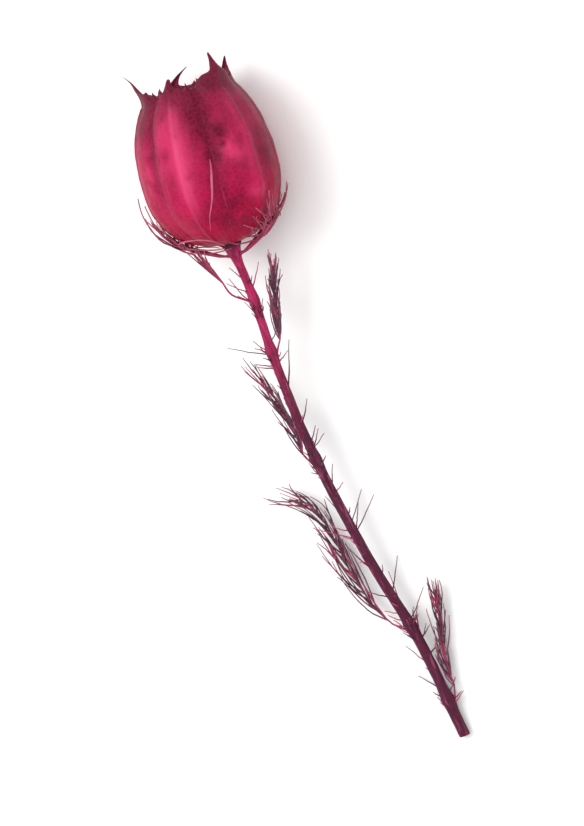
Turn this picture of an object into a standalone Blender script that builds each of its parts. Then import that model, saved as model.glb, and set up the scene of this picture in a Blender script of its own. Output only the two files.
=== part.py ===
"""A dried nigella seed pod as picked, lying on its side: the ribbed capsule with its five horns, the five
thread-like bracts that cradle it, and a cut length of stem with its finely divided leaves.
Metres, +Z up. +Y runs from the stem's cut end to the crown, and the origin is on the surface it lies on."""

import math
import random

import bmesh
import bpy
from mathutils import Matrix, Vector

MM = 0.001

# How the pod lies
POD_BASE = Vector((0.816, 27.779, 9.17)) * MM  # middle of the capsule's base, where the stem meets it
POD_YAW = math.radians(7.5)  # the crown leans this far towards +X
POD_PITCH = math.radians(5.0)  # and is raised this far off the surface

# Capsule
CARPELS = 5
LOBE = math.tau / CARPELS
LOBE_STATIONS = (0, 3, 7, 13, 21, 30, 36, 42, 51, 59, 65, 69)  # degrees round one carpel from its crest
WIDEST_RADIUS = 11.0 * MM
WIDEST_HEIGHT = 11.5 * MM  # height of the widest point above the base
UPPER_HEIGHT = 16.0 * MM  # from there to where the upper curve would close
FULLNESS = 2.2  # exponent of the wall's curve: 2 is an ellipse, more is fuller
BASE_CLIMB = math.radians(6)  # where the wall starts, round the small scar at the base
RIM_HEIGHT = 23.6 * MM
SUTURE_DEPTH = 0.085  # depth of the grooves between carpels, as a share of the radius
CREST_RISE = 0.16 * MM  # the fine rib along each carpel's back
RIM_BEAD = 1.2 * MM  # how far the crown's edge stands above the rim between two horns
BEAK_FALL = 1.8  # how fast a beak falls away from its crest
# The carpels aren't quite even: between these two angles the walls are turned back by up to this much
TURNED_FROM = -72
TURNED_TO = 144
TURNED_BY = 17
RIM_WALL = 1.1 * MM
CENTRE_HEIGHT = 20.6 * MM  # bottom of the dip inside the crown

# Each carpel's beak and the horn on it, in mm: how far the horn leans out, how far it swings round the
# crown, the beak's height, and the horn's length above the beak
HORNS = (
    (0.2, 0.5, 2.1, 1.2),
    (0.5, 0.3, 3.3, 1.9),
    (0.7, -1.5, 2.8, 1.3),
    (0.3, -3.6, 1.7, 2.5),
    (1.7, -0.3, 2.7, 2.8),
)
BEAK_TUCK = 0.8 * MM  # the beaks first draw in
BEAK_FLARE = 1.2 * MM  # and then lean out at their tops
HORN_RADIUS = 0.62 * MM
HORN_TIP = 0.3 * MM
HORN_ROOT = 0.75 * MM  # how deep in the beak the horn starts

# Stem, as points from the capsule's base to the cut end
STEM_ROUTE = ((0, 0), (-0.2, -2), (-0.2, -9), (-0.95, -20.5), (-1.0, -35), (0.7, -53), (3.1, -68), (3.9, -84.5))
STEM_LENGTH = 84.8 * MM
STEM_TOP_RADIUS = 0.68 * MM
STEM_END_RADIUS = 0.9 * MM
STEM_SIDES = 10
SEAT_RADIUS = 1.7 * MM  # the swollen seat that the capsule sits on
SEAT_LENGTH = 2.3 * MM
NODE_SWELL = 0.2 * MM  # the stem thickens where a leaf grows
JOINT_GAP = 0.3 * MM  # kept between one piece and the next

# Threads of the bracts and leaves
RIB_RADIUS = 0.42 * MM
THREAD_RADIUS = 0.34 * MM
THREAD_TIP = 0.22 * MM
FLOOR_CLEARANCE = 0.1 * MM

# Bracts: angle round the capsule, half spread, how far up the wall the threads climb, and how many
BRACTS = (
    (-84, 32, 72, 9),
    (86, 23, 74, 9),
    (138, 19, 70, 7),
    (-150, 22, 52, 7),
)
BRACT_NODE = 2.9 * MM  # how far below the capsule they grow
LOW_BRACT = -33  # angle of the fifth, which grows lower down the stem and ends under the capsule
LOW_BRACT_NODE = 9.5 * MM
LOW_THREADS = 7

# Leaves: distance down the stem, side, and the rib's further points from the capsule's base, in mm
LEAVES = (
    (18.0, 1, ((1.7, -13.4, 7.2), (3.2, -8.6, 7.5), (5.1, -4.6, 8.2))),
    (36.0, -1, ((-2.7, -31, 5.6), (-3.7, -25.5, 5.2), (-5.3, -19.2, 6.0))),
    (66.0, -1, ((-1.8, -60.8, 2.4), (-3.7, -54, 1.8), (-4.4, -47.5, 1.6), (-6.0, -42.4, 1.9), (-9.6, -38.8, 2.6))),
    (79.0, 1, ((5.5, -72.5, 1.6), (6.9, -66.5, 1.5), (8.6, -60, 2.4))),
)
LEAF_THREADS = 9

# Colours of the dyed plant
CRIMSON = (0.42, 0.022, 0.085, 1)
ROSE_BROWN = (0.30, 0.045, 0.085, 1)
PLUM = (0.17, 0.018, 0.05, 1)


def pod_frame():
    """The capsule's own frame: X across it, Y along its axis to the crown, Z away from the surface."""
    across = Vector((math.cos(POD_YAW), -math.sin(POD_YAW), 0))
    flat = Vector((math.sin(POD_YAW), math.cos(POD_YAW), 0))
    along = flat * math.cos(POD_PITCH) + Vector((0, 0, math.sin(POD_PITCH)))
    turned = Matrix((across, along, across.cross(along))).transposed().to_4x4()
    return Matrix.Translation(POD_BASE) @ turned


FRAME = pod_frame()


def turned(angle):
    """Where an angle of the even carpels is on the real capsule, whose front carpels are narrower."""
    degrees = (math.degrees(angle) + 180) % 360 - 180
    share = (degrees - TURNED_FROM) / (TURNED_TO - TURNED_FROM)
    if not 0 < share < 1:
        return angle
    return angle - math.radians(TURNED_BY) * math.sin(math.pi * share**1.5) ** 2


def pod_point(angle, radius, height):
    """A point round the capsule's axis. Angle 0 is its upper side, and angles grow towards +X."""
    angle = turned(angle)
    return FRAME @ Vector((radius * math.sin(angle), height, radius * math.cos(angle)))


def smooth_route(points, steps):
    """A Catmull-Rom curve through the points, with that many steps from each to the next."""
    ends = [points[0] * 2 - points[1], *points, points[-1] * 2 - points[-2]]
    route = []
    for a, b, c, d in zip(ends, ends[1:], ends[2:], ends[3:]):
        for step in range(steps):
            t = step / steps
            bend = (2 * a - 5 * b + 4 * c - d) * t**2 + (3 * b - a - 3 * c + d) * t**3
            route.append((2 * b + (c - a) * t + bend) / 2)
    return [*route, points[-1].copy()]


def lengths_along(route):
    """Distance along the route at each of its points."""
    lengths = [0]
    for a, b in zip(route, route[1:]):
        lengths.append(lengths[-1] + (b - a).length)
    return lengths


# Meshes


def as_object(name, mesh):
    bmesh.ops.recalc_face_normals(mesh, faces=mesh.faces)
    data = bpy.data.meshes.new(name)
    mesh.to_mesh(data)
    mesh.free()
    made = bpy.data.objects.new(name, data)
    bpy.context.scene.collection.objects.link(made)
    return made


def tube(name, route, radii, sides):
    """A disc extruded along the route, turning with it and growing or shrinking to each radius."""
    mesh = bmesh.new()
    last = None
    for n, (point, radius) in enumerate(zip(route, radii)):
        ahead = (route[min(n + 1, len(route) - 1)] - route[max(n - 1, 0)]).normalized()
        if last is None:
            turn = ahead.to_track_quat("Z", "Y")
        else:
            turn = facing.rotation_difference(ahead) @ turn
        facing = ahead
        place = Matrix.LocRotScale(point, turn, Vector((radius, radius, radius)))
        if last is None:
            bmesh.ops.create_circle(mesh, cap_ends=True, segments=sides, radius=1, matrix=place)
            mesh.faces.ensure_lookup_table()
            end = mesh.faces[0]
        else:
            drawn = bmesh.ops.extrude_face_region(mesh, geom=[end, *end.edges])["geom"]
            corners = [part for part in drawn if isinstance(part, bmesh.types.BMVert)]
            end = next(part for part in drawn if isinstance(part, bmesh.types.BMFace))
            bmesh.ops.transform(mesh, matrix=place @ last.inverted(), verts=corners)
        last = place
    return as_object(name, mesh)


def join(body, pieces):
    """One Boolean union of the pieces into the body."""
    group = bpy.data.collections.new("pieces")
    bpy.context.scene.collection.children.link(group)
    for piece in pieces:
        bpy.context.scene.collection.objects.unlink(piece)
        group.objects.link(piece)
    union = body.modifiers.new("union", "BOOLEAN")
    union.operation = "UNION"
    union.operand_type = "COLLECTION"
    union.collection = group
    union.solver = "EXACT"
    bpy.context.view_layer.objects.active = body
    bpy.ops.object.modifier_apply(modifier=union.name)
    for piece in pieces:
        bpy.data.objects.remove(piece)
    bpy.data.collections.remove(group)


def rest_on_surface(body):
    """Presses flat the little that would reach below the surface the pod lies on."""
    for vertex in body.data.vertices:
        vertex.co.z = max(vertex.co.z, 0)


# Capsule


def lobe_phase(angle):
    """0 on a carpel's crest, 1 in the suture between two carpels."""
    return abs((angle / LOBE + 0.5) % 1 - 0.5) * 2


def wall(angle, climb):
    """(radius, height) on the wall. Climb is 0 at the middle of the base and a quarter turn at the widest."""
    radius = WIDEST_RADIUS * abs(math.sin(climb)) ** (2 / FULLNESS)
    away = UPPER_HEIGHT if climb > math.pi / 2 else -WIDEST_HEIGHT
    height = WIDEST_HEIGHT + away * abs(math.cos(climb)) ** (2 / FULLNESS)
    phase = lobe_phase(angle)
    share = height / RIM_HEIGHT
    depth = SUTURE_DEPTH * (0.75 + 0.5 * share**2) * min(1, radius / (0.6 * WIDEST_RADIUS)) ** 2
    uneven = 1 + 0.012 * math.sin(2 * angle + 0.6) + 0.01 * math.sin(3 * angle - 1 + 3 * share)
    crest = CREST_RISE * max(0, 1 - phase / 0.12) * min(1, radius / (0.5 * WIDEST_RADIUS))
    groove = depth * (0.45 * phase + 0.55 * phase**2.6)
    return radius * uneven * (1 - groove) + crest, height


RIM_CLIMB = math.pi - math.acos(((RIM_HEIGHT - WIDEST_HEIGHT) / UPPER_HEIGHT) ** (FULLNESS / 2))


def carpel_section(angle):
    """(radius, height) points up the wall, over the crown's edge and down into its dip, at one angle."""
    quarter = math.pi / 2
    climbs = [BASE_CLIMB + (quarter - BASE_CLIMB) * step / 8 for step in range(8)]
    climbs += [quarter + (RIM_CLIMB - quarter) * step / 6 for step in range(7)]
    points = [wall(angle, climb) for climb in climbs]
    rim_radius, rim_height = points[-1]
    beak = (1 - lobe_phase(angle)) ** BEAK_FALL
    rise = RIM_BEAD + (HORNS[round(angle / LOBE) % CARPELS][2] * MM - RIM_BEAD) * beak
    for share in (0.35, 0.7, 1.0):
        radius = rim_radius - BEAK_TUCK * share + BEAK_FLARE * beak * share**2
        points.append((radius, rim_height + rise * share))
    top_radius, top_height = points[-1]
    inner_radius = top_radius - RIM_WALL * (1 - 0.35 * beak)
    inner_height = top_height - 0.25 * MM - 0.3 * rise * beak
    points.append((inner_radius, inner_height))
    for share in (0.35, 0.7):
        height = CENTRE_HEIGHT + (inner_height - CENTRE_HEIGHT) * (1 - share) ** 1.8
        points.append((inner_radius * (1 - share), height))
    return points


def capsule_body():
    """A sphere whose rings are moved to the capsule's wall, its lower pole to the base, its upper to the dip."""
    mesh = bmesh.new()
    columns = CARPELS * len(LOBE_STATIONS)
    rings = len(carpel_section(0)) + 1
    bmesh.ops.create_uvsphere(mesh, u_segments=columns, v_segments=rings, radius=1)
    for vertex in mesh.verts:
        ring = round(rings * vertex.co.angle(Vector((0, 0, -1))) / math.pi)
        column = round(columns * math.atan2(vertex.co.x, vertex.co.y) / math.tau) % columns
        carpel, station = divmod(column, len(LOBE_STATIONS))
        angle = carpel * LOBE + math.radians(LOBE_STATIONS[station])
        if ring == 0:
            radius, height = 0, wall(0, BASE_CLIMB)[1]
        elif ring == rings:
            radius, height = 0, CENTRE_HEIGHT
        else:
            radius, height = carpel_section(angle)[ring - 1]
        vertex.co = pod_point(angle, radius, height)
    return as_object("capsule", mesh)


def horn(number):
    """A dried style: from inside its beak out over the tip, curling."""
    lean, swing, beak, length = HORNS[number]
    angle = LOBE * number
    radius = wall(angle, RIM_CLIMB)[0] - 0.7 * MM
    whole = (beak + length) * MM - HORN_ROOT
    shares = (0, 0.3, 0.55, 0.8, 1)
    route = [
        pod_point(
            angle + 0.12 * swing * share**2,
            radius + (0.35 * share + lean * share**2) * MM,
            RIM_HEIGHT + HORN_ROOT + whole * (share - 0.1 * lean * share**3),
        )
        for share in shares
    ]
    return tube("horn", route, [HORN_RADIUS + (HORN_TIP - HORN_RADIUS) * share for share in shares], 5)


def capsule():
    """The inflated seed case of five joined carpels, each drawn out in a beak with a horn."""
    body = capsule_body()
    join(body, [horn(number) for number in range(CARPELS)])
    rest_on_surface(body)
    return body


# Stem


def stem_route():
    """Close points down the middle of the stem, from the capsule's base to the cut end on the surface."""
    drop = POD_BASE.z - STEM_END_RADIUS + 0.05 * MM
    points = []
    for x, y in STEM_ROUTE:
        share = y / STEM_ROUTE[-1][1]
        lift = 0.35 * math.sin(math.pi * share)
        points.append(POD_BASE + Vector((x * MM, y * MM, lift * MM - drop * share)))
    return smooth_route(points, 12)


STEM = stem_route()
STEM_LENGTHS = lengths_along(STEM)


def stem_at(distance):
    """The point that far down the stem, and the direction back up it."""
    n = max(k for k in range(len(STEM) - 1) if STEM_LENGTHS[k] <= distance)
    share = (distance - STEM_LENGTHS[n]) / (STEM_LENGTHS[n + 1] - STEM_LENGTHS[n])
    return STEM[n].lerp(STEM[n + 1], share), (STEM[n] - STEM[n + 1]).normalized()


def stem_radius(distance):
    taper = STEM_TOP_RADIUS + (STEM_END_RADIUS - STEM_TOP_RADIUS) * distance / STEM_LENGTH
    seat = max(0, 1 - distance / SEAT_LENGTH) ** 1.5 * (SEAT_RADIUS - STEM_TOP_RADIUS)
    nodes = [LOW_BRACT_NODE] + [leaf[0] * MM for leaf in LEAVES]
    swell = sum(NODE_SWELL * math.exp(-(((distance - node) / (1.4 * MM)) ** 2)) for node in nodes)
    return taper + seat + swell


def stem():
    """The stem, from the swollen seat under the capsule to the cut."""
    end = STEM_LENGTHS[-1]
    stations = [JOINT_GAP + 0.5 * MM * n for n in range(5)]
    rest = end - stations[-1]
    stations += [stations[-1] + rest * n / 36 for n in range(1, 37)]
    made = tube("stem", [stem_at(s)[0] for s in stations], [stem_radius(s) for s in stations], STEM_SIDES)
    rest_on_surface(made)
    return made


# Bracts and leaves


def frond(name, rib, threads):
    """A rib with its threads, joined as one piece."""
    body = tube(name, rib, tapered(len(rib), RIB_RADIUS, THREAD_RADIUS), 4)
    join(body, [tube("thread", thread, tapered(len(thread), THREAD_RADIUS, THREAD_TIP), 3) for thread in threads])
    return body


def tapered(count, start, end):
    return [start + (end - start) * n / (count - 1) for n in range(count)]


def off_wall(angle, climb, off):
    """A point standing that far off the capsule's wall, and bent aside where the surface leaves no room below."""
    radius, height = wall(angle, climb)
    radius_on, height_on = wall(angle, climb + 0.02)
    out = Vector((height_on - height, radius - radius_on)).normalized() * off
    radius, height = radius + out.x, height + out.y
    room = POD_BASE.z + height * math.sin(POD_PITCH) - THREAD_RADIUS - FLOOR_CLEARANCE
    least = math.acos(min(1, room / (radius * math.cos(POD_PITCH))))
    angle = math.copysign(math.pi - math.hypot(math.pi - abs(angle), least), angle)
    return pod_point(angle, radius, height)


def climbing_line(start, end, wave):
    """Where a thread is at t, from 0 at its root to 1 at its tip, as (angle round, climb, distance off)."""

    def at(t):
        angle = start[0] + (end[0] - start[0]) * (1 - (1 - t) ** 1.8) + wave * math.sin(5 * t)
        return angle, start[1] + (end[1] - start[1]) * t, start[2] + (end[2] - start[2]) * t**2

    return at


def bract(number):
    """A bract of the ruff: its rib runs out under the capsule, and its threads climb the wall."""
    centre, spread, top, count = BRACTS[number]
    centre, spread, top = math.radians(centre), math.radians(spread), math.radians(top)
    node, _ = stem_at(BRACT_NODE)
    outward = (pod_point(centre, 1, 0) - pod_point(centre, 0, 0)).normalized()
    rib = [node + outward * (stem_radius(BRACT_NODE) + JOINT_GAP + off * MM) for off in (0, 1.1)]
    rib += [off_wall(centre, math.radians(climb), off * MM) for climb, off in ((20, 1.35), (30, 1.2), (40, 1.1))]
    threads = []
    for n in range(count):
        draw = random.Random(100 * number + n)
        side = 2 * n / (count - 1) - 1
        start = (centre, math.radians(37 - 15 * abs(side)), 1.1 * MM)
        high = top * (1 - 0.22 * abs(side) + draw.uniform(-0.14, 0.1))
        end = (centre + spread * side, high, draw.uniform(1.2, 1.8) * MM)
        line = climbing_line(start, end, draw.uniform(-0.05, 0.05))
        threads.append([off_wall(*line(step / 5)) for step in range(6)])
        if n % 2:
            aside = (end[0] + draw.choice((-0.14, 0.14)), high - 0.2, end[2] + 0.3 * MM)
            fork = climbing_line(line(0.4), aside, 0)
            threads.append([off_wall(*fork(step / 4)) for step in range(5)])
    return frond(f"bract_{number + 1}", rib, threads)


def low_bract():
    """The bract that grows a little way down the stem and ends in a spray under the capsule's left side."""
    angle = math.radians(LOW_BRACT)
    node, _ = stem_at(LOW_BRACT_NODE)
    outward = (pod_point(angle, 1, 0) - pod_point(angle, 0, 0)).normalized()
    rib = [node + outward * (stem_radius(LOW_BRACT_NODE) + JOINT_GAP)]
    rib += [pod_point(angle, radius * MM, height * MM) for radius, height in ((2.7, -7.6), (3.9, -5.2), (5, -2.9))]
    threads = []
    for n in range(LOW_THREADS):
        draw = random.Random(900 + n)
        side = 2 * n / (LOW_THREADS - 1) - 1
        root = rib[1].lerp(rib[3], 0.95 - 0.5 * abs(side))
        tip = off_wall(angle + math.radians(15) * side, math.radians(draw.uniform(33, 41)), 1.5 * MM)
        bulge = (root - node).normalized() * draw.uniform(0.2, 0.7) * MM
        threads.append([root, root.lerp(tip, 0.35) + bulge, root.lerp(tip, 0.7) + bulge, tip])
    return frond("bract_5", rib, threads)


def keep_clear(point, radius):
    """Moves a leaf's point away from the stem, or up off the surface, where it would touch them."""
    n = min(range(len(STEM)), key=lambda k: (STEM[k] - point).length_squared)
    away = point - STEM[n]
    least = stem_radius(STEM_LENGTHS[n]) + radius + 0.3 * MM
    if away.length < least:
        point = STEM[n] + away.normalized() * least
    return Vector((point.x, point.y, max(point.z, radius + FLOOR_CLEARANCE)))


def along(route, share):
    """The point at that share of the route, or straight on past its end, and the direction there."""
    place = share * (len(route) - 1)
    n = min(int(place), len(route) - 2)
    step = route[n + 1] - route[n]
    return route[n] + step * (place - n), step.normalized()


def leaf(number):
    """A stem leaf dried to a narrow plume: a rib with threads on both sides that follow it to its tip."""
    distance, side, points = LEAVES[number]
    node, up_stem = stem_at(distance * MM)
    outward = Vector((side, 0, 0)) - up_stem * up_stem.x * side
    root = node + outward.normalized() * (stem_radius(distance * MM) + JOINT_GAP + RIB_RADIUS)
    route = [root] + [Vector((POD_BASE.x + x * MM, POD_BASE.y + y * MM, z * MM)) for x, y, z in points]
    rib = [root] + [keep_clear(point, RIB_RADIUS) for point in smooth_route(route, 3)[1:]]
    length = lengths_along(rib)[-1]
    threads = []
    for n in range(LEAF_THREADS):
        draw = random.Random(1000 + 100 * number + n)
        place = 0.14 + 0.74 * n / (LEAF_THREADS - 1)
        _, ahead = along(rib, place)
        across = ahead.cross(Vector((0, 0, 1))).normalized() * (1 if n % 2 else -1)
        aside = (across + Vector((0, 0, draw.uniform(-0.2, 0.8)))).normalized()
        reach = draw.uniform(0.3, 0.42) * (1 - 0.35 * place)
        spread = draw.uniform(0.16, 0.26) * reach * length
        thread = [along(rib, place)[0]]
        for t in (0.3, 0.65, 1.0):
            point = along(rib, place + reach * t)[0] + aside * spread * (1.5 * t - 0.5 * t**2)
            thread.append(keep_clear(point, THREAD_RADIUS))
        threads.append(thread)
        if n % 3 == 1:
            tip = along(rib, place + 0.8 * reach)[0] + aside * spread * 1.9
            threads.append([thread[1], keep_clear(tip, THREAD_RADIUS)])
    return frond(f"leaf_{number + 1}", rib, threads)


def finish(name, colour, roughness):
    made = bpy.data.materials.new(name)
    made.use_nodes = True
    shader = made.node_tree.nodes["Principled BSDF"]
    shader.inputs["Base Color"].default_value = colour
    shader.inputs["Roughness"].default_value = roughness
    return made


def dress(piece, material, origin):
    """Gives a piece its material and soft shading, and puts its origin where it grows."""
    piece.data.materials.clear()
    piece.data.materials.append(material)
    piece.data.shade_smooth()
    piece.data.set_sharp_from_angle(angle=math.radians(40))
    piece.data.transform(Matrix.Translation(-origin))
    piece.location = origin


def build():
    for thing in list(bpy.data.objects):
        bpy.data.objects.remove(thing)
    threads = finish("dyed_threads", PLUM, 0.6)
    dress(capsule(), finish("dyed_capsule", CRIMSON, 0.42), POD_BASE)
    dress(stem(), finish("dyed_stem", ROSE_BROWN, 0.6), STEM[-1])
    for number in range(len(BRACTS)):
        dress(bract(number), threads, stem_at(BRACT_NODE)[0])
    dress(low_bract(), threads, stem_at(LOW_BRACT_NODE)[0])
    for number, (distance, _, _) in enumerate(LEAVES):
        dress(leaf(number), threads, stem_at(distance * MM)[0])


build()
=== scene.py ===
"""The dried nigella seed pod with its finer looks: the papery ribbed capsule with five horns, the ribbed
stem, and the thread-like bracts and leaves. Metres, +Z up. +Y runs from the stem's cut end to the crown."""

import math
import random

import bmesh
import bpy
from mathutils import Matrix, Vector
from mathutils.kdtree import KDTree


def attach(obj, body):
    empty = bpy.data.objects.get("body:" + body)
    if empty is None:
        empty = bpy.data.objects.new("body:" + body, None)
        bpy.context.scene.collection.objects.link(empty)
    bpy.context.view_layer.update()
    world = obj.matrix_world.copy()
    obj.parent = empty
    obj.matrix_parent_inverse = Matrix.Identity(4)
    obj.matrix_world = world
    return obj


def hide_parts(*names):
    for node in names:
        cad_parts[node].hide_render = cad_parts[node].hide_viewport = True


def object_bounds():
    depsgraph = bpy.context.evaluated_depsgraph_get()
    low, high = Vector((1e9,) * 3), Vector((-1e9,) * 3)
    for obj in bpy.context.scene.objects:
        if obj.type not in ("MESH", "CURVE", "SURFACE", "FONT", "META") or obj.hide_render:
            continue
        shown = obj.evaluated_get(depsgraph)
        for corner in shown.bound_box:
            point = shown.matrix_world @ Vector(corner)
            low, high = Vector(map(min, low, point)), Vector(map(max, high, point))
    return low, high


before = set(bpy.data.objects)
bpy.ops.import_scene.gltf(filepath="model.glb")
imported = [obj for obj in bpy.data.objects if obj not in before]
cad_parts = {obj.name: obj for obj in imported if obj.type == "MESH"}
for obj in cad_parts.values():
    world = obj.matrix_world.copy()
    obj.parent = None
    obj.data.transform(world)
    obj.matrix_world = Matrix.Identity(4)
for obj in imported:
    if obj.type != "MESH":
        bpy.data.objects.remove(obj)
CAD_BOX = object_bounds()

MM = 0.001

# How the pod lies
POD_BASE = Vector((0.816, 27.779, 9.17)) * MM  # middle of the capsule's base
POD_YAW = math.radians(7.5)
POD_PITCH = math.radians(5.0)

# Capsule
CARPELS = 5
LOBE = 72  # degrees round the axis for each carpel
# The carpels aren't quite even: between these two angles the walls are turned back by up to this much
TURNED_FROM = -72
TURNED_TO = 144
TURNED_BY = 17
STATIONS = (0, 1.6, 4, 8, 13, 19, 25, 30, 33.6, 36)  # degrees from a carpel's crest to its suture
COLUMN = 4  # degrees between the sphere's columns before they are gathered to the stations
SAME_COLUMN = 0.3  # degrees within which corners are of one column
SAME_RING = 0.02 * MM
SAME_RADIUS = 1e-6
RINGS = 44
WAIST_RING = 22
RIM_RING = 34
WIDEST_RADIUS = 11.0 * MM
WIDEST_HEIGHT = 11.5 * MM
UPPER_HEIGHT = 16.0 * MM
FULLNESS = 2.2
BASE_CLIMB = math.radians(6)
RIM_HEIGHT = 23.6 * MM
SUTURE_DEPTH = 0.085
CREST_RISE = 0.16 * MM
RIM_BEAD = 1.2 * MM
RIM_WALL = 0.8 * MM
CENTRE_HEIGHT = 20.6 * MM
BEAK_TUCK = 0.8 * MM
BEAK_FLARE = 1.2 * MM
HORN_ROOT = 0.75 * MM
# lean out, swing round the crown, height of the beak, and length of the horn above it, in mm
HORNS = (
    (0.2, 0.8, 2.3, 1.4),
    (-0.2, -0.9, 3.5, 2.6),
    (-0.3, -1.5, 2.9, 1.7),
    (0.3, -3.6, 1.9, 2.6),
    (2.0, -0.3, 2.9, 4.3),
)
HORN_TIPS = (0.3, 0.14, 0.16, 0.12, 0.12)  # width of each horn's tip, as a share of its root's
HORN_STEPS = 8
BEAK_REACH = 9.3  # degrees each side of a crest that its horn grows from
BEAK_FALL = 1.15  # how fast a beak falls away from its crest
# Small nicks and teeth of the crown's dry edge: angle, reach and rise in mm
NICKS = (
    (40, 3.0, 0.8), (68, 3.0, 0.7), (9, 0.8, -0.8), (15, 0.7, 0.9), (22, 1.0, -1.0), (30, 0.6, 0.6),
    (37, 0.8, -0.9), (43, 0.6, 0.8), (-16, 0.8, -0.7), (-23, 0.7, 1.0), (-31, 1.0, -0.9), (-40, 0.7, 0.8),
    (-48, 1.0, -1.0), (-56, 0.8, 0.6), (66, 0.7, -0.7), (76, 0.6, 0.8), (88, 0.9, -0.6), (101, 0.7, 0.6),
    (114, 0.8, -0.7), (127, 0.6, 0.4), (160, 0.8, 0.6), (172, 0.9, -0.7), (187, 0.8, 0.6), (203, 0.7, -0.5),
    (-130, 0.8, -0.6), (-116, 0.9, 0.6), (-104, 0.8, -0.7), (-86, 0.6, 0.5),
)
# How far round from the middle in degrees, and by how much in mm, each fine line is raised, step by step
SUTURE_LINE = ((0.95, 0.05), (0.5, 0.06))
CREST_LINE = ((4.6, 0.035), (3.2, 0.035), (2.0, 0.035), (1.0, 0.02))

# Uneven places on the capsule: angle round it, height, reach, and push outwards in mm
BULGES = (
    (92, 12, 8, -0.17), (-32, 11, 8, -0.14), (-72, 12, 7, -0.08), (27, 17.5, 3.8, -0.45),
    (24, 13.5, 2.4, -0.22), (35, 17.3, 1.6, -0.16), (42, 14, 3.0, 0.38), (35, 11.3, 1.8, -0.24),
    (45, 11.1, 1.9, -0.22), (52, 7.6, 2.2, 0.28), (40, 6.4, 2.4, -0.26), (31, 4.4, 2.2, 0.2),
    (15, 6.2, 2.6, 0.2), (-22, 8, 6, 0.2), (-16, 17, 3.0, -0.16), (-38, 17.5, 3.0, -0.2),
    (-60, 8, 3, 0.15), (70, 15.5, 3, -0.18), (76, 8, 2.6, 0.16), (110, 16, 3, -0.2),
    (150, 10, 3, 0.15), (165, 17, 3, -0.18), (-110, 14, 3, -0.15), (-130, 8, 3, 0.14),
    (-160, 18, 3, -0.16),
)

# Stem, as points from the capsule's base to the cut end
STEM_ROUTE = (
    (0, 0), (-0.2, -2), (-0.2, -9), (-0.95, -20.5), (-1.0, -35), (0.7, -53), (3.1, -68), (3.9, -84.5),
)
STEM_LENGTH = 84.8 * MM
STEM_TOP_RADIUS = 0.66 * MM
STEM_END_RADIUS = 0.9 * MM
STEM_RIBS = 9
SEAT_RADIUS = 1.7 * MM
SEAT_LENGTH = 2.3 * MM
NODE_SWELL = 0.26 * MM

# Threads of the bracts and leaves
RIB_RADIUS = 0.19 * MM
THREAD_RADIUS = 0.14 * MM
THREAD_TIP = 0.06 * MM
SOLID_RIB = 0.42 * MM  # of the plain solids, for the same routes
SOLID_THREAD = 0.34 * MM
JOINT_GAP = 0.3 * MM
FLOOR_CLEARANCE = 0.1 * MM
# Bracts: angle round the capsule, half spread, how far up the wall the threads climb, and how many
BRACTS = (
    (-84, 32, 72, 9),
    (86, 23, 74, 9),
    (138, 19, 70, 7),
    (-150, 22, 52, 7),
)
BRACT_FILL = 3  # threads for each of the solid's
BARE_BRACT = 1  # the bract that has lost its finer threads on the capsule's front
BARE_SIDE = 0.4  # from -1 to 1 across its spread, where that front ends
BARE_CLIMB = 0.82  # how far its threads climb, as a share of the others
BRACT_NODE = 1.9 * MM
# Long threads of each bract that cross the capsule's lower part: their shade, from 0 for dark to 2 for pale,
# and their angle, climb and distance off the wall in mm
# The pale shades are partly the threads' dry colour and partly painted glints
CROSSINGS = (
    (
        (1.6, ((-84, 34, 1.2), (-66, 40, 1.0), (-48, 43, 0.7), (-20, 41, 0.5), (-4, 34, 0.5), (4, 23, 0.6))),
        (1.5, ((-76, 26, 1.6), (-73, 38, 1.4), (-71, 52, 0.8), (-72, 66, 0.6), (-74, 80, 0.5))),
        (1.6, ((-78, 41, 1.0), (-58, 34, 0.9), (-40, 26, 0.8), (-20, 20, 0.8), (-3, 16, 0.7))),
        (1, ((-84, 30, 1.3), (-62, 25, 1.2), (-40, 20, 1.2), (-14, 15, 1.0), (12, 11, 0.8))),
        (1.4, ((-84, 34, 1.2), (-72, 50, 1.6), (-70, 64, 1.6), (-73, 76, 1.4), (-78, 86, 1.2))),
        (0.9, ((-84, 34, 1.2), (-66, 44, 1.2), (-62, 57, 1.2), (-68, 70, 1.5))),
        (0.4, ((-84, 32, 1.2), (-70, 40, 1.4), (-64, 50, 1.5), (-72, 62, 1.6), (-70, 72, 1.4))),
    ),
    (
        (1.6, ((84, 20, 1.2), (70, 30, 0.9), (67, 44, 0.7), (67, 56, 0.6), (68, 69, 0.6))),
        (1.4, ((90, 26, 1.2), (94, 33, 1.1), (98, 41, 1.0), (104, 48, 0.9), (108, 60, 1.0))),
        (1.2, ((86, 26, 1.2), (64, 21, 1.0), (44, 18, 0.8), (26, 20, 0.7), (14, 26, 0.5))),
        (0.6, ((86, 34, 1.0), (72, 44, 0.7), (58, 50, 0.6), (50, 58, 0.5))),
        (1, ((86, 30, 1.1), (66, 33, 0.7), (50, 37, 0.5), (36, 44, 0.4))),
    ),
    (
        (1, ((138, 30, 1.2), (124, 42, 1.0), (114, 56, 0.9), (110, 70, 0.8))),
    ),
    (
        (1, ((-150, 28, 1.2), (-128, 34, 1.0), (-112, 48, 1.1), (-104, 62, 1.4))),
    ),
)
# The torn edge of the front suture, which lies on the wall: angle, height and distance off the wall in mm
FIBRE = (
    (19, 13.8, 0), (18.2, 12.6, 0.04), (15.5, 10.4, 0.06), (12.8, 8.4, 0.05), (9.5, 6.9, 0.02),
    (5, 5.4, 0.05), (-1, 3.2, 0),
)
FIBRE_TEAR = 7  # the point of its finer route where it is thickest
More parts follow.
